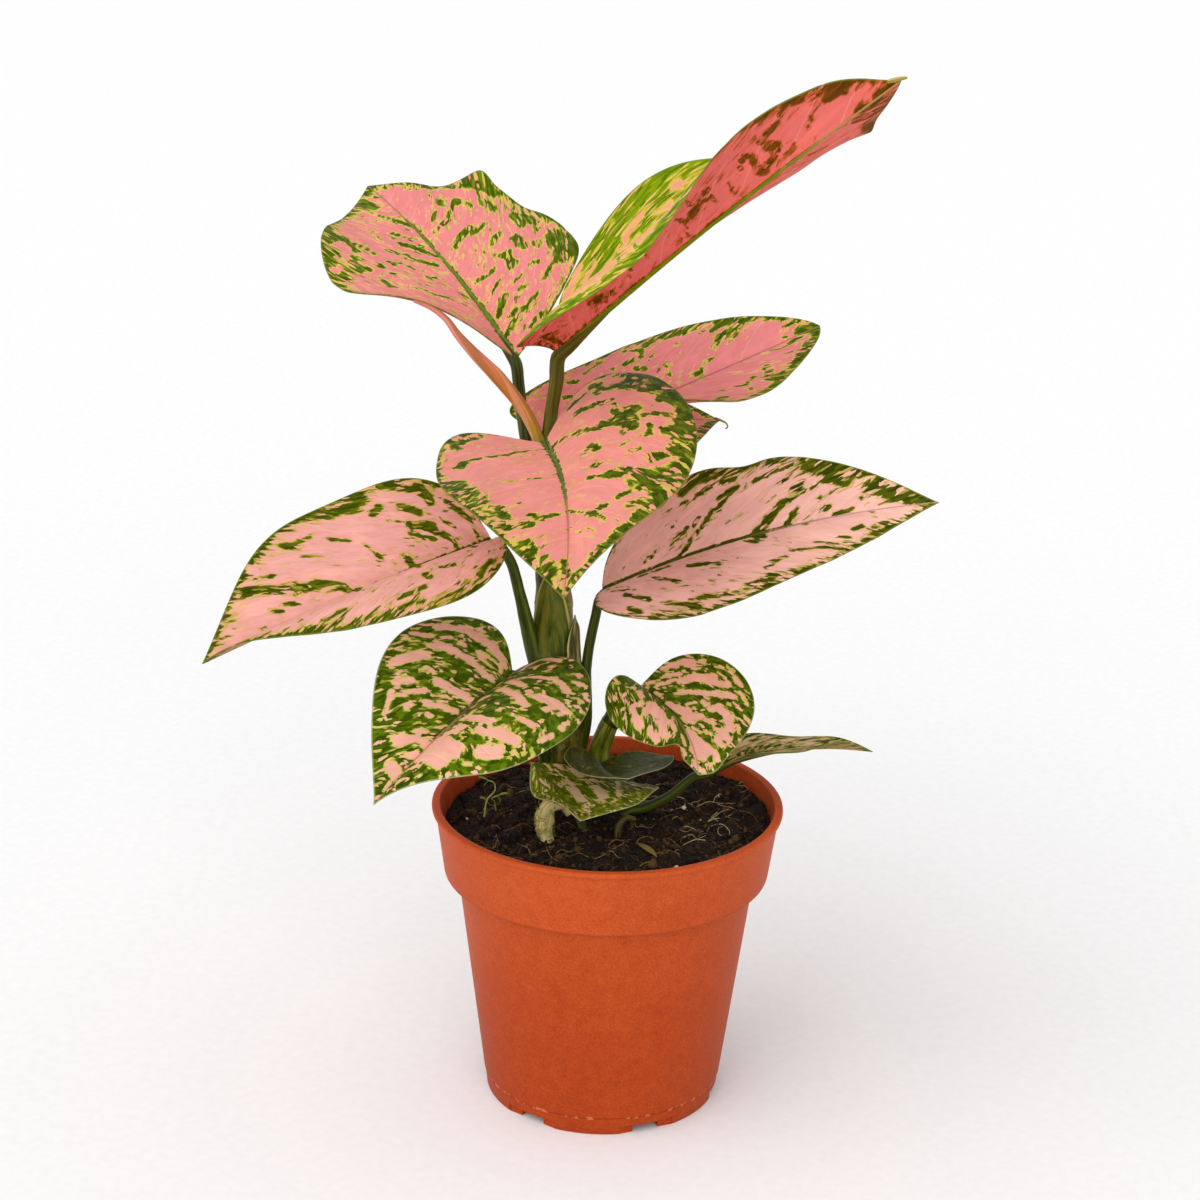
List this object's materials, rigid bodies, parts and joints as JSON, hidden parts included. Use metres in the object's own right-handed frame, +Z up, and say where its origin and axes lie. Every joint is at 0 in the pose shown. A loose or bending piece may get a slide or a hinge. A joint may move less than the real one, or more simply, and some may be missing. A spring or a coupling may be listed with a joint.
{
  "type": "potted chinese evergreen",
  "caption": "Young foliage plant with broad pointed pink and green leaves on upright stems, growing from soil in a tapered terracotta-coloured plastic pot with a wide rim band.",
  "frame": {"origin": "centre of the pot's base, on the surface the pot stands on", "axes": "+Z up along the pot's axis; +X to the right and +Y to the back as seen in the picture's front view"},
  "size_m": [0.212, 0.2032, 0.3257],
  "materials": {
    "pot_plastic": "matt moulded plastic with a fine grain",
    "potting_soil": "rough dark fibrous soil",
    "stem_green": "smooth green stem",
    "stalk_green": "smooth dark green leaf stalk",
    "dry_tissue": "papery brown plant tissue",
    "leaf_rolled": "satin rolled young leaf",
    "leaf_pink": "satin leaf, pink with green margin and flecks",
    "leaf_mixed": "satin leaf, green with pink patches",
    "leaf_green": "satin green leaf with faint pink"
  },
  "bodies": {
    "root": {"pot": "pot_plastic", "soil": "potting_soil", "main_stem": "stem_green", "green_sheath": "stem_green", "dry_sheath": "dry_tissue", "side_shoot": "stem_green", "old_stub": "dry_tissue", "hook_shoot": "stalk_green", "spear_leaf": "leaf_rolled", "leaf_top_left_blade": "leaf_pink", "leaf_top_left_stalk": "stalk_green", "leaf_top_right_blade": "leaf_pink", "leaf_top_right_stalk": "stalk_green", "leaf_upper_right_blade": "leaf_pink", "leaf_upper_right_stalk": "stalk_green", "leaf_back_right_blade": "leaf_pink", "leaf_back_right_stalk": "stalk_green", "leaf_centre_blade": "leaf_pink", "leaf_centre_stalk": "stalk_green", "leaf_mid_left_blade": "leaf_pink", "leaf_mid_left_stalk": "stalk_green", "leaf_mid_right_blade": "leaf_pink", "leaf_mid_right_stalk": "stalk_green", "leaf_lower_left_blade": "leaf_mixed", "leaf_lower_left_stalk": "stalk_green", "leaf_lower_right_blade": "leaf_mixed", "leaf_lower_right_stalk": "stalk_green", "leaf_low_right_blade": "leaf_mixed", "leaf_low_right_stalk": "stalk_green", "leaf_low_front_blade": "leaf_green", "leaf_low_front_stalk": "stalk_green", "leaf_stem_base_blade": "leaf_green", "leaf_stem_base_stalk": "stalk_green"}
  },
  "joints": []
}
